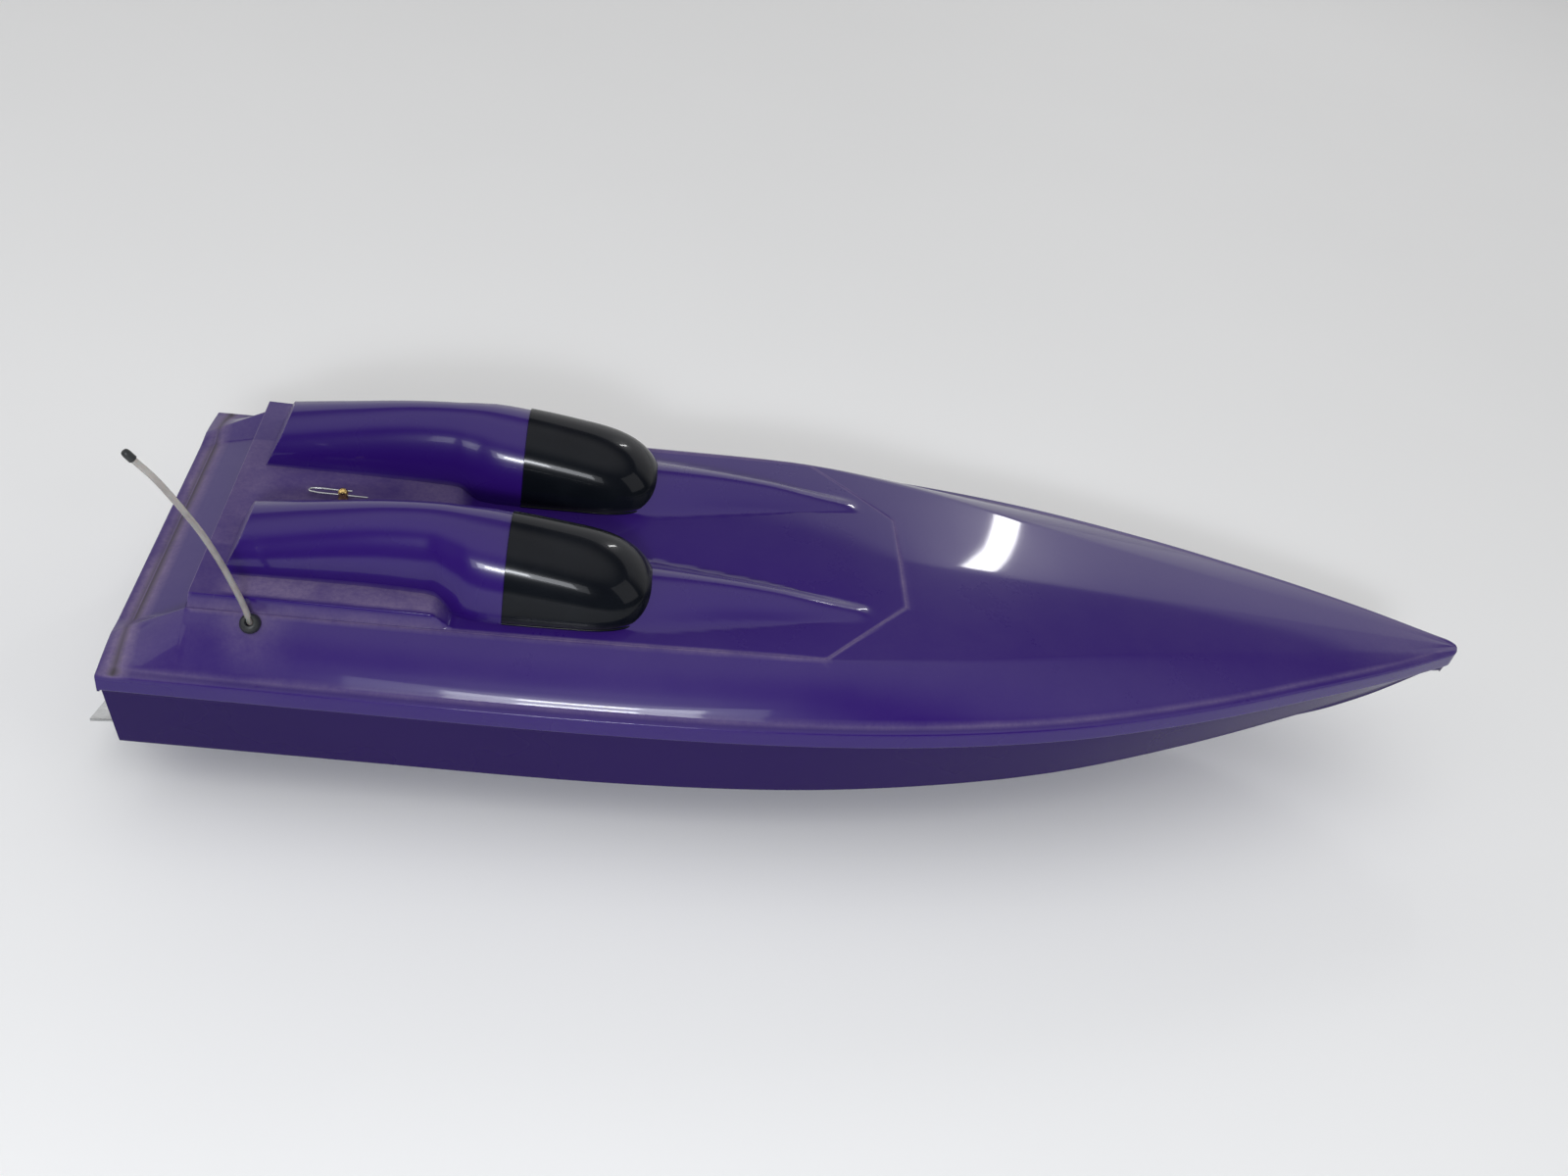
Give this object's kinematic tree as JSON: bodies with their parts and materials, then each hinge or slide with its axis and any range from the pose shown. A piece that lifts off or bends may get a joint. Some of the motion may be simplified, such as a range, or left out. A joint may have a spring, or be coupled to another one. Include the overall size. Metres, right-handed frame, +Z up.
{
  "type": "rc boat",
  "caption": "Radio-controlled deep-V racing boat with a lift-off twin-pod hatch, electric drive line, offset rudder, trim tabs and an antenna tube.",
  "frame": {"origin": "centre of the flat keel pad, 230 mm ahead of the transom, on the surface that the boat stands on", "axes": "+X towards the bow, +Y to port, +Z up"},
  "size_m": [0.7814, 0.2388, 0.2054],
  "materials": {
    "hull_purple": "high gloss, moulded in colour",
    "windshield_black": "high gloss",
    "brass": "bright, lightly tarnished",
    "steel": "bright",
    "aluminium": "satin, machined",
    "anodised_blue": "satin, anodised",
    "black_plastic": "matte, fine moulded texture",
    "grey_plastic": "matte, fine moulded texture",
    "plywood": "bare birch plywood",
    "battery_wrap": "satin heat-shrink film",
    "strap_fabric": "woven hook-and-loop tape",
    "black_rubber": "satin",
    "lead_red": "satin silicone insulation",
    "silicone": "satin, translucent",
    "clear_nylon": "satin, translucent",
    "foam": "matte closed-cell foam"
  },
  "bodies": {
    "boat": {"hull_shell": "hull_purple", "deck_shell": "hull_purple", "hatch_crossbar": "plywood", "antenna_grommet": "black_rubber", "antenna_tube": "clear_nylon", "antenna_cap": "black_rubber", "stuffing_tube": "brass", "shaft_strut": "aluminium", "motor_mount": "aluminium", "motor_can": "steel", "motor_endbell": "black_plastic", "motor_water_jacket": "anodised_blue", "motor_rail_port": "plywood", "motor_rail_starboard": "plywood", "rudder_bracket": "aluminium", "trim_tab_bracket_port": "aluminium", "trim_tab_bracket_starboard": "aluminium", "water_pickup": "aluminium", "water_outlet": "aluminium", "steering_servo": "black_plastic", "servo_mount": "plywood", "pushrod_seal": "black_rubber", "battery_tray_port": "plywood", "battery_tray_starboard": "plywood", "battery_pack_port": "battery_wrap", "battery_pack_starboard": "battery_wrap", "battery_strap_port_rear": "strap_fabric", "battery_strap_port_front": "strap_fabric", "battery_strap_starboard_rear": "strap_fabric", "battery_strap_starboard_front": "strap_fabric", "speed_controller": "black_plastic", "speed_controller_block": "plywood", "radio_box": "black_plastic", "radio_box_lid": "black_plastic", "receiver": "grey_plastic", "switch_frame": "black_plastic", "bow_foam": "foam", "water_hose_feed": "silicone", "water_hose_return": "silicone", "motor_lead_red": "lead_red", "motor_lead_black": "black_rubber"},
    "drive_train": {"propeller": "brass", "propeller_nut": "brass", "drive_dog": "steel", "propeller_shaft": "steel", "shaft_coupler": "brass", "motor_shaft": "steel"},
    "rudder": {"rudder_blade": "aluminium", "rudder_pin": "steel", "tiller_arm": "aluminium"},
    "servo_arm": {"servo_horn": "grey_plastic"},
    "steering_link": {"steering_pushrod": "steel"},
    "port_tab": {"trim_tab_port": "steel"},
    "starboard_tab": {"trim_tab_starboard": "steel"},
    "power_switch": {"switch_slider": "grey_plastic"},
    "hatch": {"hatch_shell": "hull_purple", "windshield_port": "windshield_black", "windshield_starboard": "windshield_black", "latch_post": "brass"},
    "hatch_clip": {"latch_clip": "steel"}
  },
  "joints": [
    {"name": "propeller_spin", "type": "hinge", "parent": "boat", "child": "drive_train", "pos_m": [-0.216, 0, 0.017], "axis": [0.9964, 0, 0.0847], "continuous": true},
    {"name": "rudder_turn", "type": "hinge", "parent": "boat", "child": "rudder", "pos_m": [-0.23533, -0.04, 0.03619], "axis": [-0.0771, 0, 0.997], "range_deg": [-22, 22]},
    {"name": "servo_arm_turn", "type": "hinge", "parent": "boat", "child": "servo_arm", "pos_m": [-0.142, -0.04, 0.054], "axis": [0, 0, 1], "range_deg": [-22, 22]},
    {"name": "steering_link_slide", "type": "slide", "parent": "boat", "child": "steering_link", "axis": [0.9951, 0, 0.0986], "range_m": [-0.00461, 0.00461]},
    {"name": "port_tab_tilt", "type": "hinge", "parent": "boat", "child": "port_tab", "pos_m": [-0.22806, 0.062, 0.02005], "axis": [-0.0246, 0.9477, 0.3181], "range_deg": [-12, 8]},
    {"name": "starboard_tab_tilt", "type": "hinge", "parent": "boat", "child": "starboard_tab", "pos_m": [-0.22806, -0.062, 0.02005], "axis": [0.0246, 0.9477, -0.3181], "range_deg": [-12, 8]},
    {"name": "power_switch_slide", "type": "slide", "parent": "boat", "child": "power_switch", "axis": [1, 0, 0], "range_m": [0, 0.005]},
    {"name": "hatch_lift", "type": "slide", "parent": "boat", "child": "hatch", "axis": [0, 0, 1], "range_m": [0, 0.12]},
    {"name": "hatch_clip_slide", "type": "slide", "parent": "hatch", "child": "hatch_clip", "axis": [-1, 0, 0], "range_m": [0, 0.035]}
  ],
  "couplings": [
    {"joint": "servo_arm_turn", "follows": "steering_link_slide", "rad_per_m": 83.333},
    {"joint": "rudder_turn", "follows": "steering_link_slide", "rad_per_m": 83.333}
  ]
}
